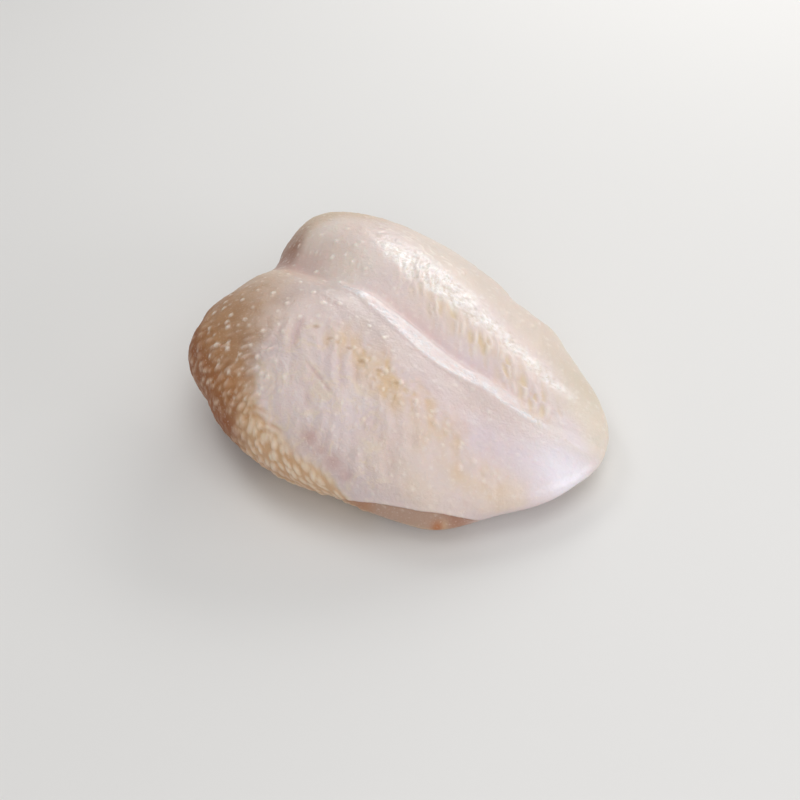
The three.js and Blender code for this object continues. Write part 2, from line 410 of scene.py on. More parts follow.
# the skin's edge over the set-back flesh, low on the near side
du = turn(U - FOLD_U)
side = np.where(du < 0, FOLD_LEFT, FOLD_RIGHT)
fold_edge = FOLD_T + FOLD_DROP * (du / side) ** 2 - 0.035 * bell((du / side - 0.7) / 0.35) * (du > 0) + 0.012 * noise(BASE, 9, 5)
fold_reach = step(12 * (1 - np.abs(du) / side))
under_fold = fold_reach * step((T - fold_edge) / 0.008) * step((FOLD_END_T - T) / 0.05)
relief -= FOLD_SET_BACK * under_fold
relief += (FOLD_RIM + 0.9) * bell(turn(U - FOLD_RIM_U) / 0.17) * bell((T - FOLD_RIM_T) / 0.13) + 1.7 * under_fold * bell((T - 1.82) / 0.13)
fold_line = fold_reach * bell((T - fold_edge - 0.012) / 0.020)
relief += 0.45 * fold_reach * bell((T - fold_edge + 0.035) / 0.030)

# gentle unevenness of the flesh under the skin
relief += above * (0.50 * noise(BASE, 26, 11) + 0.30 * noise(BASE, 12, 12) + 0.13 * noise(BASE, 6, 13))

near_face = above * ramp(3.8, 4.15, UP) * ramp(5.7, 5.3, UP) * ramp(0.22, 0.45, T) * ramp(1.40, 1.15, T)
soft_folds = 0.6 * noise(np.stack([ACROSS, PLEAT_WAY / 2.4, z / 3], -1), 7.5, 29) + 0.4 * noise(np.stack([ACROSS, PLEAT_WAY / 2.2, z / 3], -1), 3.8, 30)
relief += near_face * (0.75 * soft_folds + 0.16 * noise(BASE, 4.4, 25) + 0.10 * noise(BASE, 2.5, 26))

# the keel: a flat, tight band of skin over the breastbone, with a crisp drop to the valley
band_off, band_at = plan_line([(-62, 3), (-54, -1.5), (-47.3, -4.8), (-33.8, -6.0), (-17.4, -7.0), (-1.3, -9.2), (13, -9.6),
                               (26.4, -8.6), (38.6, -6.2), (54.6, -4.4), (68, -1.6)])
stations = [0, 0.07, 0.18, 0.29, 0.39, 0.48, 0.56, 0.63, 0.715, 0.80, 0.88, 1.0]
near_half = np.interp(band_at, stations, [1.5, 2.9, 3.2, 6.0, 6.9, 6.9, 6.6, 4.9, 3.0, 3.8, 3.6, 1.4])
far_half = np.interp(band_at, stations, [0.3, 0.3, 2.0, 2.3, 3.0, 3.9, 3.2, 3.7, 5.4, 4.6, 3.0, 1.2])
ends = ramp(0.0, 0.07, band_at) * ramp(1.0, 0.93, band_at) * above
edge_fray = 0.45 * noise(BASE, 3.2, 14) + 0.35 * noise(BASE, 1.7, 98)
keel_band = step((band_off + near_half + edge_fray) / 0.42) * step((far_half - band_off + edge_fray) / 0.38) * ends
tail_ease = -2.1 * ramp(22, 58, x)


def across_keel(off):
    """The form's height over the keel line, off mm to its side."""
    dip = VALLEY_D * step(-2 * (x - VALLEY_END_X) / VALLEY_FADE) * bell(off / VALLEY_W) * (1 + VALLEY_BIAS * np.tanh(off / (RIDGE_W * 1.5)))
    return RIDGE_H * bell(off / RIDGE_W) * step((x - RIDGE_START_X) / RIDGE_FADE) - dip + tail_ease * bell(off / RIDGE_W)


relief += tail_ease * bell(LATERAL / RIDGE_W) * above
in_band = band_off + near_half
lifted = across_keel(LATERAL - in_band) + 0.35 - 0.185 * in_band - across_keel(LATERAL)
relief += keel_band * np.clip(lifted, -1.4, 2.0) * np.interp(band_at, [0, 0.12, 0.3, 0.7, 1], [0.3, 0.6, 1, 1, 0.7])
relief -= 0.5 * bell((band_off - far_half - 2.2) / 2.2) * ends * ramp(0.75, 0.5, band_at)

# pleats across the breast, strongest on the slope between the keel and the far crest
row_off, row_at = plan_line([(-38, 26), (-27, 23.5), (-13, 18.2), (-6, 15), (1.7, 13), (9.3, 12), (17.1, 11.3), (27.5, 10.3),
                             (38, 9.3), (48, 7.6), (58.4, 4), (67, 0.7)])
slope_zone = bell((row_off + 0.5) / np.where(row_off > -0.5, 9.5, 8.5)) * ramp(0.0, 0.08, row_at) * ramp(1.0, 0.92, row_at) * above
tract_off, tract_at = plan_line([(-47, -36), (-31, -39), (-10, -39), (4, -40), (14, -41), (26, -42), (37, -43), (53, -46), (72, -40)])
tract = bell(tract_off / 11.0) * ramp(0.0, 0.15, tract_at) * ramp(1.0, 0.85, tract_at) * above
tract_core = bell((tract_off - 1) / 7.0) * bell((tract_at - 0.38) / 0.22) * above
pleats = 0.6 * noise(np.stack([ACROSS, PLEAT_WAY / 4, z / 6], -1), 4.0, 91) + 0.4 * noise(np.stack([ACROSS, PLEAT_WAY / 3.5, z / 6], -1), 2.3, 92)
pleat_zone = np.clip(0.2 + 1.3 * slope_zone + 0.8 * tract + 0.3 * ramp(0, 40, x), 0, 1.5) * above * (1 - keel_band)
relief += 0.34 * pleat_zone * pleats

# streaked follicles on that slope: a yellow recess beside each raised finger of skin, its pale top a painted highlight
da, db, r1, r2 = cells(ACROSS + 0.8 * noise(BASE, 5, 57), PLEAT_WAY, 4.5, 8.0, 0.75, 51)
finger = dome(np.sqrt(((da - 1.1) / 1.7) ** 2 + (db / 5.5) ** 2)) * (0.25 + 0.75 * r2)
recess = dome(np.sqrt(((da + 1.4) / 1.9) ** 2 + ((db + 0.8) / 5.8) ** 2)) * (0.15 + 0.85 * r1)
relief += slope_zone * (0.85 * finger - 0.60 * recess)

# the wet, crinkled crest of the far lobe, where a highlight is also painted into the colour
crest_off, crest_at = plan_line([(-74, 44), (-66, 40), (-56, 35), (-46, 31), (-36, 29.5), (-25, 27.5), (-14, 25.5), (-4, 24), (8, 24), (20, 23),
                                 (31, 22.5), (42, 22), (52, 22), (60, 22.8), (66, 23.5), (71, 23.5)])
half_crest = np.where(crest_off < 0, np.interp(crest_at, [0, 0.12, 0.20, 0.25, 0.33, 0.40, 0.46, 0.55, 0.62, 0.8, 1.0], [2.4, 4.6, 6.8, 9.0, 11.0, 11.0, 9.8, 7.0, 4.8, 3.6, 2.2]),
                      np.interp(crest_at, [0, 0.12, 0.3, 0.5, 0.62, 0.8, 1.0], [2.4, 4.6, 9.5, 7.5, 4.8, 3.6, 2.2]))
serration = np.where(crest_off < 0, 3.0, 1.6) * noise(np.stack([ACROSS, PLEAT_WAY / 4.5, z / 6], -1), 3.6, 93) + 1.2 * noise(BASE, 2.2, 94)
crest_ends = ramp(0, 0.26, crest_at) * ramp(1, 0.88, crest_at) * above
crest = step((half_crest - np.abs(crest_off) + serration) / 0.9) * crest_ends
one = np.stack([x * 0.93 + y * 0.37, (y * 0.93 - x * 0.37) * 2.0, z], -1)
two = np.stack([x * 0.55 - y * 0.84, (y * 0.55 + x * 0.84) * 2.0, z], -1)
crinkle = np.minimum(np.abs(noise(one, 5.2, 61)), np.abs(noise(two, 5.6, 62)))
crinkle_fine = np.minimum(np.abs(noise(one, 2.8, 63)), np.abs(noise(two, 3.0, 64)))
relief += crest * np.interp(crest_at, [0, 0.3, 0.5], [1.5, 1.3, 1.0]) * (1.0 * (crinkle - 0.2) + 0.6 * (crinkle_fine - 0.2))
crest_gaps = ramp(-0.42, 0.18, noise(BASE, 3.4, 95) + 0.5 * noise(BASE, 1.8, 96) + 0.35 * ramp(0.6, 0.0, np.abs(crest_off) / half_crest))
crest_lines = crest * np.clip(0.8 * ramp(0.09, 0.0, crinkle) + 0.5 * ramp(0.06, 0.0, crinkle_fine), 0, 1)

# raised flakes of skin beyond the crest, painted pale as glints
flake_run = x * 0.94 - y * 0.34
da, db, r1, r2 = cells(flake_run, x * 0.34 + y * 0.94, 9.5, 3.3, 0.85, 97)
flakes = dome(np.sqrt((da / (3.4 + 2.4 * r2)) ** 2 + ((db + 0.5 * np.sin(0.8 * da + 6 * r1)) / 0.9) ** 2)) * (r1 > 0.25)
flake_zone = bell((crest_off - np.interp(x, [-75, -50], [5, 14])) / 8) * ramp(-78, -66, x) * ramp(4, -26, x) * above
relief += 0.32 * flake_zone * flakes

# goose bumps: pale ovals set close together, long down the side
wobble = 0.9 * noise(BASE, 7, 22)
da, db, r1, r2 = cells(ALONG + wobble, DOWN - wobble, 4.2, 5.8, 0.85, 21)
swing = np.radians(np.interp(UP, [3.3, 3.9, 4.5, 4.9], [95, 112, 58, 50]) + 25 * (r2 - 0.5))
ea, eb = da * np.cos(swing) + db * np.sin(swing), -da * np.sin(swing) + db * np.cos(swing)
grow = 0.70 + 0.45 * r1
oval = dome(np.sqrt((ea / (4.2 * grow)) ** 2 + (eb / (2.2 * grow)) ** 2))
goose_pick = r2
at_rim = 1 - 0.70 * ramp(1.15, 1.38, T) * ramp(3.35, 3.55, UP) * ramp(4.25, 4.05, UP)
relief += goose * at_rim * (np.interp(UP, [4.0, 4.3, 4.6], [1.55, 1.25, 0.8]) * (0.35 + 0.65 * r2) * oval - 0.40) + 0.22 * goose * noise(BASE, 2.4, 23)
# soft slanting lumps where the browned skin of the near shoulder meets the bumps
da, db, r1, r2 = cells(ALONG + 0.5 * DOWN, DOWN - 0.25 * ALONG, 6.2, 9.5, 0.7, 27)
lump = dome(np.sqrt((da / 2.4) ** 2 + (db / 5.0) ** 2)) * (0.3 + 0.7 * r1)
lump_zone = ramp(3.45, 3.7, UP) * ramp(4.24, 4.1, UP) * ramp(-0.42, -0.12, T - bumpy_from) * ramp(0.85, 0.50, T - bumpy_from)
relief += 1.25 * lump_zone * lump * at_rim

# pimples standing on the shoulders
PIMPLES = [(-86.4, -27.6), (-76.5, -28.3), (-103.4, -29.6), (-101.9, -35.4), (-98.7, -39.4), (-80.6, -46.3), (-90.8, -44.4),
           (-90.3, -48.3), (-88.2, -50.8), (-66.4, -50.2), (-82.3, -58.0), (-80.7, -60.1), (-90.0, -63.6), (-71.6, -62.3),
           (-61.7, -61.8), (-53.4, -38.2), (-64.6, -32.9), (-69.5, -16.6), (-56.8, -22.3), (-82.8, -8.5), (-65.9, -2.3),
           (-77.9, 7.8), (-57.3, -1.0), (-42.5, -21.3), (-48.7, -26.2), (-71.8, -69.9), (-81.0, -67.7), (-88.0, -58.9),
           (-98.8, -51.8), (-103.7, -42.0), (-90.7, -35.1), (-50.8, -67.7), (-55.3, -67.3), (-50.9, -72.4), (-23.9, -22.2),
           (-15.1, -23.8), (-49.5, 10.9), (-75.8, 23.1), (-75.4, 32.5), (-93.1, 41.7), (-89.0, 27.3), (-85.4, 18.4),
           (-73.3, 15.3), (-62.5, 21.9), (-60.8, 24.8), (-58.9, 13.1), (-101.2, 25.3), (-65.4, 16.4)]
pimple = np.zeros(len(BASE))
for k, q in enumerate(on_skin(PIMPLES)):
    d = np.linalg.norm((BASE - q) * (1, 1, 0.9), axis=1)
    size = 1.25 + 0.55 * ((k * 0.618) % 1)
    pimple = np.maximum(pimple, dome(d / size) * (0.75 + 0.25 * ((k * 0.377) % 1)))
steep = T > 1.02
da, db, r1, r2 = cells(np.where(steep, ALONG, x), np.where(steep, DOWN + 900, LATERAL * 1.1), 7.4, 7.0, 0.85, 31)
strewn = dome(np.sqrt(da ** 2 + db ** 2) / (0.9 + 0.5 * r2)) * (r1 > 0.25) * (0.35 + 0.4 * r2)
strewn_zone = ramp(-26, -46, x) * ramp(1.5, 1.2, T) * ramp(0.2, 0.4, T)
relief += 0.75 * pimple * (1 - 0.7 * goose) * (0.4 + 0.6 * at_rim) + 0.40 * strewn_zone * (1 - goose) * strewn

# the feather tract down the near lobe: cream follicles, each with a small slit at its near end
sway_a, sway_b = 0.75 * noise(BASE, 2.3, 59), 0.75 * noise(BASE, 2.3, 60)
da, db, r1, r2 = cells(ACROSS + sway_a, PLEAT_WAY + 0.5 * z + sway_b, 5.8, 5.3, 0.75, 41)
follicle = dome(np.sqrt(((da - 0.6) / 1.9) ** 2 + (db / 2.3) ** 2)) * (r1 > 0.10) * (0.35 + 0.65 * r2)
beside = dome(np.sqrt(((da + 1.5) / 1.7) ** 2 + ((db + 0.6) / 2.2) ** 2)) * (0.3 + 0.7 * r1)
slit = dome(np.sqrt(((da + 1.6) / 1.2) ** 2 + ((db + 0.2) / 0.6) ** 2)) * (r2 > 0.62)
relief += tract * (0.62 * follicle * (0.6 + 0.4 * tract_core) - 0.25 * beside) - 0.25 * np.clip(tract_core * 1.2, 0, 1) * slit * ramp(22, 6, x)

# its clearest follicles: a cream bead at the end of a short yellowish slit
LEVEL, UPWARD = np.array([0.843, 0.537]), np.array([-0.537, 0.843])
FOLLICLES = [(-40.9, -37.2), (-31.7, -38.9), (-22.1, -37.6), (-5.1, -38.1), (-4.9, -40.6), (-0.5, -46.3), (4.1, -38.2), (9.8, -46.3),
             (14.8, -41.0), (22.3, -39.7), (22.9, -42.5), (30.7, -39.3), (31.2, -42.2), (40.1, -41.4), (40.4, -43.6), (-14.0, -39.4),
             (-9.0, -44.5), (18.5, -46.0), (34.0, -48.5), (48.0, -44.0), (27.0, -52.0), (44.5, -50.5), (55.0, -47.0), (60.0, -41.0)]
bead, cut, halo = np.zeros(len(BASE)), np.zeros(len(BASE)), np.zeros(len(BASE))
for k, (px, py) in enumerate(FOLLICLES):
    level = (x - px) * LEVEL[0] + (y - py) * LEVEL[1] + 0.6 * sway_a
    upward = ((x - px) * UPWARD[0] + (y - py) * UPWARD[1] + 0.6 * sway_b) * 0.8
    size = 1.0 + 0.5 * ((k * 0.618) % 1)
    bead = np.maximum(bead, dome(np.hypot(level, upward) / size) * (0.45 + 0.55 * ((k * 0.755) % 1)) * above)
    if k < 3 or k % 3 == 0:
        cut = np.maximum(cut, dome(np.hypot((level + 2.6) / 2.2, (upward + 0.5) / 1.0)) * above)
    else:
        cut = np.maximum(cut, 0.4 * dome(np.hypot((level + 1.7) / 1.3, (upward + 0.2) / 0.9)) * above)
    halo = np.maximum(halo, bell(np.hypot(level + 1.5, upward) / 4.6) * above * (0.55 if k < 3 else 1.0))
cut *= ramp(22, 6, x)
relief += 0.42 * bead - 0.12 * cut

# faint follicles over the rest
da, db, r1, r2 = cells(np.where(steep, ALONG, x * 0.94 + y * 0.34), np.where(steep, DOWN + 900, -x * 0.34 + y * 0.94 + 0.4 * z), 6.0, 5.4, 0.9, 71)
faint = dome(np.sqrt(da ** 2 + db ** 2) / (1.0 + 0.6 * r2)) * (r1 > 0.30) * (0.4 + 0.6 * r2)
elsewhere = (1 - np.clip(goose + strewn_zone + tract + slope_zone + keel_band, 0, 1)) * above
relief += 0.24 * elsewhere * faint
relief += above * (0.10 * noise(BASE, 3.1, 15) + 0.06 * noise(BASE, 1.9, 16))

# creases by the near shoulder, and a dip at the bruised patches
crease = np.zeros(len(BASE))
for width, depth, tint, points in (
    (2.6, 0.58, 0.8, [(-54, -33), (-52.5, -39.3), (-50.2, -45.3), (-47.8, -52), (-48.5, -59)]),
    (1.0, 0.30, 1.0, [(-40, -54), (-37.7, -55.2), (-31, -57.5), (-26, -58.3), (-21, -60.6), (-15, -61)]),
    (2.4, 0.20, 0.3, [(-43, -30), (-38, -36), (-34.5, -43), (-28, -50), (-19, -55)]),
    (2.0, 0.14, 0.3, [(-62, -38), (-59, -45), (-57, -54), (-58, -60)]),
    (2.2, 0.18, 0.2, [(-60, -20), (-50, -24), (-41, -24), (-33, -27)]),
    (1.9, 0.45, 0.6, [(-28.5, -40), (-25.4, -45), (-22, -50.9), (-17.4, -55.7), (-14, -60)]),
    (1.6, 0.40, 0.5, [(-18.5, -41), (-16.8, -44.4), (-14.9, -47), (-13.7, -49.8), (-11, -53)]),
    (1.6, 0.26, 0.4, [(-34, -28), (-31, -32), (-29, -36)]),
):
    d, w = along_line(rounded(on_skin(points)))
    d = d + 0.5 * np.abs(noise(BASE, 5, 19))
    line = bell(d / width) * ramp(0, 0.35, w) * ramp(1, 0.6, w)
    relief -= depth * line
    relief += 0.4 * depth * bell((d - 2.0 * width) / width) * ramp(0, 0.35, w) * ramp(1, 0.6, w)
    crease = np.maximum(crease, tint * line)
bruise = np.zeros(len(BASE))
for q, wide in zip(on_skin([(-18.9, -79.3), (-12.5, -80.7), (-5.6, -81.4), (1.9, -81.9)]), (4.5, 3.0, 4.2, 3.0)):
    bruise = np.maximum(bruise, bell(np.linalg.norm((BASE - q) * (0.8, 1, 1), axis=1) / wide))
relief -= 0.5 * bruise * (0.7 + 0.3 * fresh)

# small ripples just inside the browned skin, and two thin folds across its lower corner
ripple_at = np.hypot((x + 51) / 1.0, (y + 70.5) / 1.1)
relief += 0.20 * np.sin(2.0 * ripple_at + 1.6 * noise(BASE, 5, 24)) * bell(ripple_at / 8.5) * above
thin_fold = np.zeros(len(BASE))
for points in ([(-60, -82.5), (-56, -81.8), (-52, -80.6), (-48, -80.2), (-43, -80.8), (-40, -81.8)], [(-48, -84.5), (-42, -83.4), (-36, -83.2), (-31, -84.0)]):
    d, w = along_line(rounded(on_skin(points)))
    ridge = bell(d / 0.9) * ramp(0, 0.3, w) * ramp(1, 0.6, w)
    beside_fold = bell((d - 1.9) / 0.9) * ramp(0, 0.3, w) * ramp(1, 0.6, w)
    relief += 0.55 * ridge - 0.30 * beside_fold
    thin_fold = np.maximum(thin_fold, beside_fold)

# flesh pulled in at the neck cleft, with short wrinkles running out of it
cleft = bell((LATERAL - 2) / 9.0) * ramp(-58, -84, x) * ramp(1.9, 1.4, T)
hollow = bell((LATERAL - 10) / 10.0) * ramp(-60, -86, x) * ramp(1.9, 1.4, T)
relief -= 0.7 * cleft * (1 + 0.5 * noise(np.stack([x / 3, y, z], -1), 4.0, 17))
relief += 0.35 * hollow * noise(np.stack([ACROSS / 3, PLEAT_WAY, z], -1), 5.0, 18)

P = BASE + relief[:, None] * NORMAL
flat = BASE[:, 2] <= 1e-6
P[flat] = BASE[flat]
P[:, 2] = np.maximum(P[:, 2], 0)


# to the row frame: the CAD form is centred by the box of its own vertices
def cad_centre(cells_across=26):
    g = np.tan(np.linspace(-PI / 4, PI / 4, cells_across + 1))
    a, b = (v.ravel() for v in np.meshgrid(g, g, indexing="ij"))
    o = np.ones_like(a)
    D = np.concatenate([np.stack(f, -1) for f in ((o, a, b), (-o, -a, b), (-a, o, b), (a, -o, b), (-b, a, o), (b, a, -o))])
    D /= np.linalg.norm(D, axis=1)[:, None]
    u, s = np.arctan2(D[:, 1], D[:, 0]), np.arccos(np.clip(D[:, 2], -1, 1)) / PI
    Q = body(u, table(spread, u, s))
    return (Q.min(0) + Q.max(0)) / 2


SHIFT = np.array([*cad_centre()[:2], 0.0])

mesh = bpy.data.meshes.new("chicken_skin")
mesh.from_pydata(((P - SHIFT) / 1000).tolist(), [], QUADS.tolist() + TRIS.tolist())
mesh.update()
mesh.polygons.foreach_set("use_smooth", [True] * len(mesh.polygons))
skin = bpy.data.objects.new("chicken_skin", mesh)
bpy.context.scene.collection.objects.link(skin)


def mask(name, values):
    a = mesh.attributes.new(name, "FLOAT", "POINT")
    a.data.foreach_set("value", np.clip(values, 0, 1).astype(np.float32))


patchy = np.clip(0.5 + 0.9 * noise(BASE, 11, 81) + 0.4 * noise(BASE, 5, 82), 0, 1)
brown_depth = browned * ramp(0.80, 1.35, T + 0.06 * fresh) * ramp(4.30, 4.04, UP) * ramp(3.3, 3.65, UP)
mask("tan", np.clip(browned * np.interp(UP, [4.02, 4.26], [1.0, 0.18]) + 0.7 * browned_far, 0, 1))
mask("brown", np.clip(brown_depth + 0.3 * browned_far, 0, 1))
mask("deep", brown_depth * (1 - np.clip(1.6 * oval, 0, 1)) * (1 - np.clip(1.6 * lump, 0, 1)) * ramp(0.0, 0.3, T - bumpy_from + 0.1))
mask("groove", 0.6 * thin_fold + goose * (1 - np.clip(oval * 1.6, 0, 1)) * ramp(-0.05, 0.25, T - bumpy_from) * np.interp(UP, [3.3, 4.0, 4.3, 4.8], [0.5, 0.8, 0.95, 0.7]) * (1 - 0.9 * np.clip(brown_depth, 0, 1)))
mask("orange", bell(turn(U - 4.05) / 0.11) * bell((T - 1.55) / 0.11) * (0.7 + 0.5 * noise(BASE, 4.5, 101)) + 0.35 * bell(turn(U - 3.74) / 0.14) * bell((T - 1.55) / 0.16)
     + 0.42 * bell(turn(U - 4.25) / 0.28) * bell((T - 1.78) / 0.12) * (0.7 + 0.4 * noise(BASE, 4.0, 102)))
mask("straw", browned * ramp(4.02, 4.2, UP) + 0.5 * goose * ramp(4.1, 4.3, UP))
mask("yellow", np.clip(tract * (0.05 + 0.25 * patchy + 0.5 * np.clip(-2 * pleats, 0, 1)) + (0.35 * tract + 0.55 * tract_core) * beside * (0.5 + 0.5 * patchy)
                       + 0.55 * halo * (0.35 + 0.65 * patchy), 0, 1) * np.interp(x, [0, 30], [1.0, 0.8]))
mask("streak", slope_zone * np.clip(0.22 + 1.0 * recess + 0.4 * np.clip(-1.5 * pleats, 0, 1), 0, 1))
butter = bell(np.hypot((x - 40) / 22, (y + 50) / 9)) + bell(np.hypot((x - 66) / 14, (y + 42) / 10)) + 0.7 * bell(np.hypot((x - 34) / 22, (y + 70) / 8))
mask("butter", np.clip(butter * (0.35 + 0.9 * patchy), 0, 1) * above)
mask("near", above * ramp(3.8, 4.1, UP) * ramp(5.35, 4.9, UP) * ramp(0.25, 0.5, T))
# goose bumps and lumps painted paler, brightest at their tops: partly the bumps' own pale skin, partly a painted
# highlight
mask("bump", np.interp(UP, [4.0, 4.3], [0.75, 0.55]) * goose * oval ** 3 * (0.3 + 0.7 * goose_pick) + 0.8 * lump_zone * lump ** 2)
# painted light: lighter paint on the far shoulder by the cleft, along the far edge and beside the keel band's start,
# where the lamps leave the skin too dark
mask("lift", (bell(np.hypot((x + 88) / 17, (y - 30) / 15)) + 0.35 * bell(np.hypot((x + 52) / 27, (y - 68) / 9))
              + 1.0 * bell(np.hypot((x + 60) / 18, (y - 13) / 11)) + 0.35 * bell(np.hypot((x + 34) / 14, (y + 4) / 9))) * ramp(1.25, 1.0, T))
# pale follicles, beads and pimples with painted glints on them, and painted highlights on the goose bumps, the lumps,
# the slope's fingers and the flakes
mask("pale_and_painted_glints", np.clip(0.55 * tract * follicle * (0.4 + 0.6 * tract_core) + 0.85 * bead + 1.3 * pimple + strewn_zone * strewn
                     + 0.42 * goose * oval ** 5 * (0.35 + 0.65 * goose_pick) + 0.35 * lump_zone * lump ** 4
                     + 0.5 * elsewhere * faint + 0.75 * slope_zone * finger + 0.75 * flake_zone * flakes, 0, 1))
mask("slit", np.clip(0.35 * tract_core * slit * ramp(22, 6, x) + cut, 0, 1))
mask("warm", ramp(-42, -98, x) * above * (1 - 0.85 * bell((LATERAL - 24) / 19) * ramp(-99, -86, x)))
mask("edge", ramp(0.62, 1.02, T) * ramp(1.6, 2.3, UP) * ramp(3.25, 3.0, UP))
mask("beige", ramp(1, 16, crest_off) * ramp(-75, -30, x) * ramp(1.9, 1.6, T))
# pink tint along the creases and on the far side of the keel band, and painted shade in the neck cleft and the hollow
# beside it
mask("pink_and_cleft_shade", np.clip(0.9 * cleft + 0.3 * hollow + 1.15 * crease + 0.7 * bell((band_off - far_half - 4) / 4.5) * ends * ramp(0.08, 0.25, band_at), 0, 1))
# mauve bruised patches, a mauve patch beside the neck cleft and a faint band on the keel's near side, and painted shade
# in the hollows of the soft folds on the near face
mask("mauve_and_fold_shade", np.clip(0.6 * bell(np.hypot((x + 91) / 13, (y - 17) / 9)) + 0.85 * bruise * (0.6 + 0.5 * patchy) + 0.30 * near_face * np.clip(-1.8 * soft_folds - 0.25, 0, 1) + 0.25 * bell((LATERAL + 14) / 10) * ramp(-50, 0, x) * patchy, 0, 1))
mask("cool", above * np.clip(bell((LATERAL + 28) / 12) * ramp(-15, 12, x) + 1.0 * bell((band_off - far_half - 8) / 7) * ramp(-10, 20, x), 0, 1))
mask("dull", ramp(1.04, 1.34, T) * ramp(3.30, 3.60, UP) * np.clip(ramp(4.26, 4.10, UP) + 0.8 * ramp(4.60, 4.25, UP) * ramp(1.60, 1.80, T), 0, 1))
# painted shade: a darker belt low on the near side
mask("painted_low_shade", bell((T - 1.20) / 0.24) * ramp(4.24, 4.42, UP) * ramp(5.46, 5.25, UP))
# painted shade: a darker patch on top of the tail end
mask("painted_tail_shade", bell(np.hypot((x - 61) / 17, (y - 37) / 11)) * above)
mask("under_fold", under_fold)
mask("fold_line", fold_line + 0.7 * under_fold * ramp(5.44, 5.56, UP))
mask("fold_end", under_fold * ramp(5.06, 4.88, UP))
mask("fold_spot", bell(turn(U - 5.452) / 0.030) * bell((T - 1.81) / 0.10))
mask("fold_rim", under_fold * (ramp(1.78, 1.86, T) + bell(turn(U - 5.485) / 0.020) * bell((T - 1.78) / 0.09)))
mask("cream", np.clip(ramp(42, 72, x) * ramp(-16, 6, y) + 0.6 * ramp(1.0, 1.25, T) * ramp(0.3, 0.6, UP) * ramp(2.4, 1.9, UP), 0, 1))
band_run = np.stack([(x + y * 0.1) / 3.6, (y - x * 0.1) * 1.5, z * 0.5], -1)
band_tone = ramp(-0.45, 0.25, noise(band_run, 1.9, 99) + 0.4 * noise(BASE, 1.5, 100) + 0.5 * bell((in_band - 1.2) / 1.6) - 0.25)
# the band over the breastbone is painted paler and greyer: partly the tight skin's own tone, partly a painted highlight
mask("keel_band", keel_band * (0.42 + 0.58 * band_tone) * step((far_half - band_off) / 0.9))
# how strongly the painted highlight on the far lobe's crest shows along the crest
crest_near = ramp(1.0, -2.0, crest_off)
crest_highlight_weight = (1 - crest_near) * np.interp(crest_at, [0, 0.20, 0.33, 0.40, 0.46, 0.54], [0.35, 0.36, 1.0, 1.2, 1.2, 1.0]) \
    + crest_near * np.interp(crest_at, [0, 0.12, 0.19, 0.46, 0.54], [0.35, 0.45, 1.2, 1.2, 1.0])
mask("crest", crest * (0.52 + 0.48 * crest_gaps) * crest_highlight_weight)
mask("crest_lines", crest_lines)
shade = bell((band_off + near_half + 8) / 11) * np.interp(band_at, [0, 0.05, 0.3, 0.45, 0.6, 0.8, 1], [0.3, 0.8, 1, 0.8, 0.55, 0.45, 0.4]) * above
mask("shade", shade * step(-(band_off + near_half) / 0.8))
# browned skin on the near shoulder's low rim and on the far shoulder's outline by the cleft, darkened further at those
# outlines as painted shade
mask("rim_brown_and_shade", 0.95 * bell(turn(U - 2.95) / 0.14) * ramp(0.82, 0.99, T) + ramp(1.10, 1.32, T) * ramp(3.40, 3.66, UP) * ramp(4.24, 4.08, UP) * (1 - 0.6 * bell(turn(U - 4.0) / 0.12) * ramp(1.42, 1.28, T)))
# painted sheen: a pale lavender patch on the tail's near side, where the side light's reflection lies
mask("painted_tail_sheen", bell(np.hypot((x - 82) / 19, (y + 15) / 16)) * ramp(1.75, 1.60, T))


# ------------------------------------------------------------------ materials
def srgb(r, g, b):
    def f(c):
        c /= 255
        return c / 12.92 if c <= 0.04045 else ((c + 0.055) / 1.055) ** 2.4
    return (f(r), f(g), f(b), 1.0)


class Tree:
    def __init__(self, material):
        material.use_nodes = True
        self.nodes, self.links = material.node_tree.nodes, material.node_tree.links
        self.bsdf = next(n for n in self.nodes if n.type == "BSDF_PRINCIPLED")

    def new(self, kind, **settings):
        n = self.nodes.new(kind)
        for k, v in settings.items():
            if k.startswith("in_"):
                n.inputs[k[3:].replace("_", " ")].default_value = v
            else:
                setattr(n, k, v)
        return n

    def put(self, socket, v):
        if hasattr(v, "links"):
            self.links.new(v, socket)
        else:
            socket.default_value = v

    def attribute(self, name):
        return self.new("ShaderNodeAttribute", attribute_name=name).outputs["Fac"]

    def mix(self, factor, a, b):
        n = self.new("ShaderNodeMix", data_type="RGBA")
        for k, v in ((0, factor), (6, a), (7, b)):
            self.put(n.inputs[k], v)
        return n.outputs[2]

    def maths(self, op, a, b=None, c=None, clamp=False):
        n = self.new("ShaderNodeMath", operation=op, use_clamp=clamp)
        for socket, v in zip(n.inputs, (a, b, c)):
            if v is not None:
                self.put(socket, v)
        return n.outputs[0]

    def times(self, a, b):
        return self.maths("MULTIPLY", a, b, clamp=True)

    def ramp(self, value, low, high):
        n = self.new("ShaderNodeMapRange", interpolation_type="SMOOTHSTEP")
        self.put(n.inputs["Value"], value)
        n.inputs["From Min"].default_value, n.inputs["From Max"].default_value = low, high
        return n.outputs["Result"]

    def noise(self, where, scale, detail=2.0, rough=0.5, distort=0.0):
        n = self.new("ShaderNodeTexNoise", in_Scale=scale, in_Detail=detail, in_Roughness=rough, in_Distortion=distort)
        self.put(n.inputs["Vector"], where)
        return n.outputs["Fac"]

    def stretched(self, where, degrees, scale):
        n = self.new("ShaderNodeMapping")
        n.inputs["Rotation"].default_value = (0, 0, math.radians(degrees))
        n.inputs["Scale"].default_value = scale
        self.put(n.inputs["Vector"], where)
        return n.outputs["Vector"]


m = bpy.data.materials.new("raw_skin")
t = Tree(m)
coord = t.new("ShaderNodeTexCoord").outputs["Object"]
# the pleats run at 33 degrees to +Y, so the noise is turned and drawn out along them
pleated = t.stretched(coord, -32.7, (1.0, 0.27, 1.0))

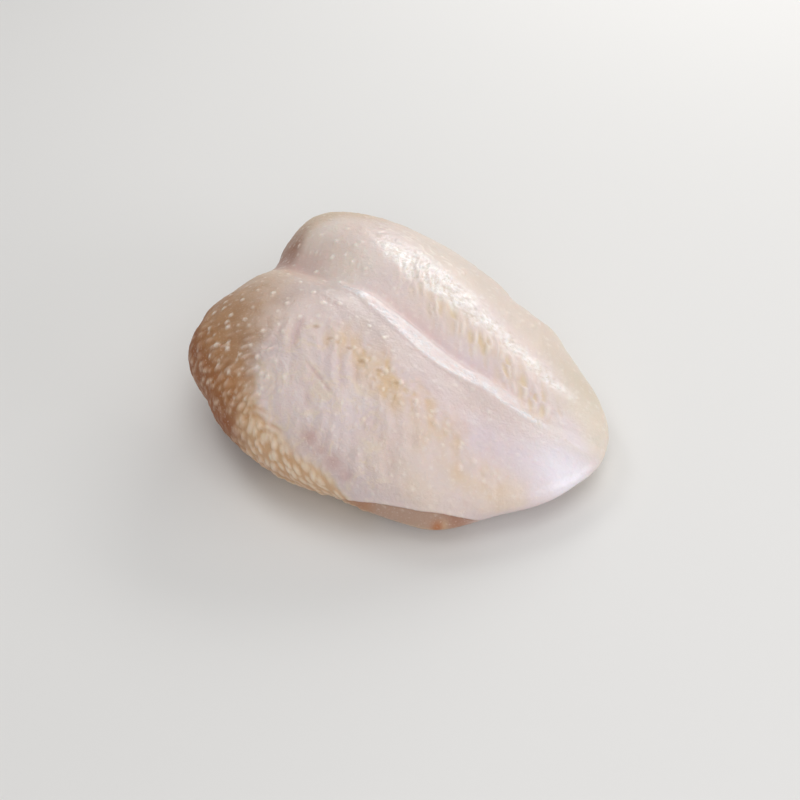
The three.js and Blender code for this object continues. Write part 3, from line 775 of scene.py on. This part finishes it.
broad = t.noise(coord, 30, 3, 0.55)
blotch = t.noise(coord, 95, 4, 0.62, 0.5)
fine = t.noise(coord, 480, 3, 0.65)
strands = t.noise(pleated, 260, 3, 0.6, 0.2)

colour = t.mix(t.ramp(broad, 0.36, 0.64), srgb(223, 204, 198), srgb(218, 201, 200))
colour = t.mix(t.times(t.ramp(blotch, 0.48, 0.74), 0.36), colour, srgb(232, 216, 203))
colour = t.mix(t.times(t.ramp(strands, 0.50, 0.72), 0.18), colour, srgb(231, 212, 190))
colour = t.mix(t.times(t.ramp(strands, 0.50, 0.30), 0.14), colour, srgb(205, 186, 188))
colour = t.mix(t.times(t.attribute("warm"), 0.72), colour, srgb(203, 171, 134))
colour = t.mix(t.times(t.attribute("edge"), 0.60), colour, srgb(198, 170, 134))
colour = t.mix(t.times(t.attribute("beige"), 0.65), colour, srgb(213, 197, 178))
colour = t.mix(t.times(t.attribute("cream"), 0.85), colour, srgb(220, 207, 189))
# painted shade on top of the tail end
colour = t.mix(t.times(t.attribute("painted_tail_shade"), 0.60), colour, srgb(204, 189, 168))
# painted shade low on the near side
colour = t.mix(t.times(t.attribute("painted_low_shade"), 0.32), colour, srgb(190, 168, 158))
# pink tint in creases and by the keel band, painted shade in the neck cleft
colour = t.mix(t.times(t.attribute("pink_and_cleft_shade"), 0.65), colour, srgb(203, 168, 166))
# mauve bruises and patches, and painted shade in the soft folds' hollows
colour = t.mix(t.times(t.attribute("mauve_and_fold_shade"), 0.75), colour, srgb(194, 154, 147))
colour = t.mix(t.times(t.attribute("shade"), 0.92), colour, srgb(192, 175, 169))
patches = t.ramp(t.noise(coord, 110, 5, 0.68, 0.8), 0.47, 0.66)
colour = t.mix(t.times(t.attribute("cool"), 0.55), colour, srgb(214, 198, 207))
# painted light on the far shoulder, the far edge and beside the keel band's start
colour = t.mix(t.times(t.attribute("lift"), 0.80), colour, srgb(238, 223, 211))
colour = t.mix(t.times(t.attribute("near"), t.times(patches, 0.50)), colour, srgb(228, 210, 182))
colour = t.mix(t.times(t.attribute("butter"), 0.50), colour, srgb(222, 201, 172))
colour = t.mix(t.times(t.attribute("yellow"), t.ramp(blotch, 0.15, 0.55)), colour, srgb(213, 182, 146))
colour = t.mix(t.times(t.attribute("streak"), 0.88), colour, srgb(219, 195, 159))
tan = t.mix(t.ramp(blotch, 0.35, 0.7), srgb(166, 122, 82), srgb(182, 139, 99))
colour = t.mix(t.attribute("tan"), colour, tan)
brown = t.mix(t.ramp(blotch, 0.35, 0.7), srgb(162, 104, 42), srgb(180, 122, 58))
colour = t.mix(t.times(t.attribute("brown"), 0.95), colour, brown)
# browned skin at the outlines, darkened further as painted shade
colour = t.mix(t.times(t.attribute("rim_brown_and_shade"), 0.72), colour, srgb(132, 68, 12))
colour = t.mix(t.times(t.attribute("straw"), 0.82), colour, srgb(232, 205, 170))
colour = t.mix(t.times(t.attribute("deep"), 0.75), colour, srgb(144, 82, 30))
colour = t.mix(t.times(t.attribute("groove"), 0.72), colour, srgb(198, 141, 82))
# paler goose bumps with a painted highlight on each top
colour = t.mix(t.times(t.attribute("bump"), 0.80), colour, t.mix(t.attribute("brown"), srgb(236, 209, 191), srgb(222, 184, 152)))
colour = t.mix(t.times(t.attribute("under_fold"), 0.9), colour, srgb(174, 137, 112))
colour = t.mix(t.times(t.attribute("fold_end"), 0.7), colour, srgb(176, 116, 68))
colour = t.mix(t.times(t.attribute("fold_rim"), 0.75), colour, srgb(216, 190, 158))
colour = t.mix(t.times(t.attribute("fold_spot"), 0.95), colour, srgb(178, 98, 12))
colour = t.mix(t.times(t.attribute("fold_line"), 0.9), colour, srgb(156, 92, 56))
# pale skin with painted glints and highlights on follicles, pimples, bumps, fingers and flakes
colour = t.mix(t.times(t.attribute("pale_and_painted_glints"), 0.72), colour, srgb(243, 234, 222))
colour = t.mix(t.times(t.attribute("slit"), 0.62), colour, srgb(176, 136, 92))
# painted highlight: the far lobe's crest painted near white where the light's reflection lies, broken by darker crinkle
# lines
colour = t.mix(t.times(t.attribute("crest"), 0.86), colour, srgb(245, 240, 237))
creases = t.noise(t.stretched(coord, -28, (1.0, 2.4, 1.0)), 300, 2, 0.55, 1.2)
creases = t.ramp(t.maths("ABSOLUTE", t.maths("SUBTRACT", creases, 0.5)), 0.035, 0.0)
colour = t.mix(t.times(t.attribute("crest"), t.times(creases, 0.48)), colour, srgb(206, 186, 162))
colour = t.mix(t.times(t.attribute("crest_lines"), 0.58), colour, srgb(204, 184, 162))
colour = t.mix(t.times(t.attribute("orange"), 0.92), colour, srgb(146, 78, 26))
# partly the tight skin's own tone over the breastbone, partly a painted highlight
colour = t.mix(t.times(t.attribute("keel_band"), t.ramp(fine, 0.20, 0.80)), colour, srgb(215, 215, 219))
# painted sheen on the tail's near side
colour = t.mix(t.times(t.attribute("painted_tail_sheen"), 0.88), colour, srgb(239, 234, 241))
speck = t.ramp(t.noise(coord, 820, 2, 0.5), 0.58, 0.74)
colour = t.mix(t.times(speck, 0.22), colour, srgb(242, 230, 222))
t.put(t.bsdf.inputs["Base Color"], colour)

# wet on the crest, the keel and the tail's side, and on each pimple; duller elsewhere
wet = t.maths("ADD", t.times(t.attribute("crest"), 0.6), t.maths("ADD", t.times(t.attribute("keel_band"), 0.85), t.times(t.attribute("painted_tail_sheen"), 0.40)), clamp=True)
wet = t.maths("MAXIMUM", wet, t.maths("MAXIMUM", t.times(t.attribute("pale_and_painted_glints"), 0.7), t.times(t.attribute("bump"), 0.8)))
rough = t.maths("MULTIPLY_ADD", fine, 0.20, 0.36)
rough = t.maths("MULTIPLY", rough, t.maths("MULTIPLY_ADD", wet, -0.58, 1.0))
rough = t.maths("ADD", rough, t.times(t.attribute("dull"), 0.26))
t.put(t.bsdf.inputs["Roughness"], rough)
t.bsdf.inputs["Specular IOR Level"].default_value = 0.85
t.bsdf.inputs["Subsurface Weight"].default_value = 0.30
t.bsdf.inputs["Subsurface Radius"].default_value = (1.0, 0.45, 0.3)
t.bsdf.inputs["Subsurface Scale"].default_value = 0.003
t.put(t.bsdf.inputs["Coat Weight"], t.maths("MULTIPLY_ADD", t.attribute("dull"), -0.21, 0.22, clamp=True))
t.bsdf.inputs["Coat Roughness"].default_value = 0.12

film = t.stretched(coord, -22, (1.0, 1.5, 1.0))
wrinkles = t.maths("ADD", t.noise(film, 430, 3, 0.65, 0.7), t.noise(coord, 620, 2, 0.6, 0.3))
wrinkles = t.maths("ADD", wrinkles, t.times(strands, 0.35))
bump = t.new("ShaderNodeBump", in_Strength=0.5, in_Distance=0.0005)
t.put(bump.inputs["Height"], wrinkles)
t.put(t.bsdf.inputs["Normal"], bump.outputs["Normal"])
t.put(t.bsdf.inputs["Coat Normal"], bump.outputs["Normal"])
mesh.materials.append(m)

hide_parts("breast")
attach(skin, "root")

# ------------------------------------------------------------------ floor, light, camera
floor_mesh = bpy.data.meshes.new("floor")
floor_mesh.from_pydata([(-3, -3, 0), (3, -3, 0), (3, 3, 0), (-3, 3, 0)], [], [(0, 1, 2, 3)])
floor = bpy.data.objects.new("floor", floor_mesh)
bpy.context.scene.collection.objects.link(floor)
fm = bpy.data.materials.new("floor")
ft = Tree(fm)
ft.bsdf.inputs["Base Color"].default_value = srgb(228, 227, 225)
ft.bsdf.inputs["Roughness"].default_value = 0.75
ft.bsdf.inputs["Specular IOR Level"].default_value = 0.15
floor_mesh.materials.append(fm)


def softbox(name, azimuth, height, away, wide, tall, watts, colour=(1, 1, 1)):
    """A rectangular light facing the breast, its wide side level."""
    a, e = math.radians(azimuth), math.radians(height)
    place = Vector((math.cos(a) * math.cos(e), math.sin(a) * math.cos(e), math.sin(e))) * away
    light = bpy.data.lights.new(name, "AREA")
    light.shape, light.size, light.size_y, light.energy, light.color = "RECTANGLE", wide, tall, watts, colour
    o = bpy.data.objects.new(name, light)
    bpy.context.scene.collection.objects.link(o)
    o.location = place + Vector((0, 0, 0.04))
    o.rotation_mode = "QUATERNION"
    o.rotation_quaternion = place.to_track_quat("Z", "Y")
    return o


softbox("key", 90, 31, 0.95, 0.90, 0.19, 3.1, (1.0, 0.99, 0.975))
softbox("top", -20, 80, 1.0, 0.6, 0.6, 2.1)
softbox("front", -55, 36, 1.0, 0.9, 0.7, 2.8)
softbox("left", 172, 52, 1.0, 0.30, 0.30, 1.4)
softbox("right", 12, 13, 0.95, 0.60, 0.44, 2.6, (0.96, 0.96, 1.0))
softbox("rim", 108, 17, 1.0, 0.45, 0.20, 0.9)

world = bpy.data.worlds.new("studio")
bpy.context.scene.world = world
world.use_nodes = True
world.node_tree.nodes["Background"].inputs["Color"].default_value = (1, 1, 1, 1)
world.node_tree.nodes["Background"].inputs["Strength"].default_value = 0.30
bpy.context.scene.view_settings.view_transform = "Standard"

AZ, EL = math.radians(32.5055), math.radians(42.0)
FOCAL, TX, TY, SCALE = 1500.0, 37.713, -3.3701, 2.0365
right = Vector((math.cos(AZ), math.sin(AZ), 0))
back = Vector((math.sin(AZ) * math.cos(EL), -math.cos(AZ) * math.cos(EL), math.sin(EL)))
up = back.cross(right)
place = (Vector((0, 0, 38.0)) - Vector(SHIFT.tolist()) + back * (FOCAL / SCALE)) / 1000
camera_data = bpy.data.cameras.new("camera")
camera = bpy.data.objects.new("camera", camera_data)
bpy.context.scene.collection.objects.link(camera)
camera.matrix_world = Matrix((
    (right[0], up[0], back[0], place[0]),
    (right[1], up[1], back[1], place[1]),
    (right[2], up[2], back[2], place[2]),
    (0, 0, 0, 1),
))
camera_data.sensor_width = 36
camera_data.lens = 36 * FOCAL / 800
camera_data.shift_x = -TX / 800
camera_data.shift_y = (TY + 372 - 400) / 800
camera_data.clip_start, camera_data.clip_end = 0.01, 20
bpy.context.scene.camera = camera
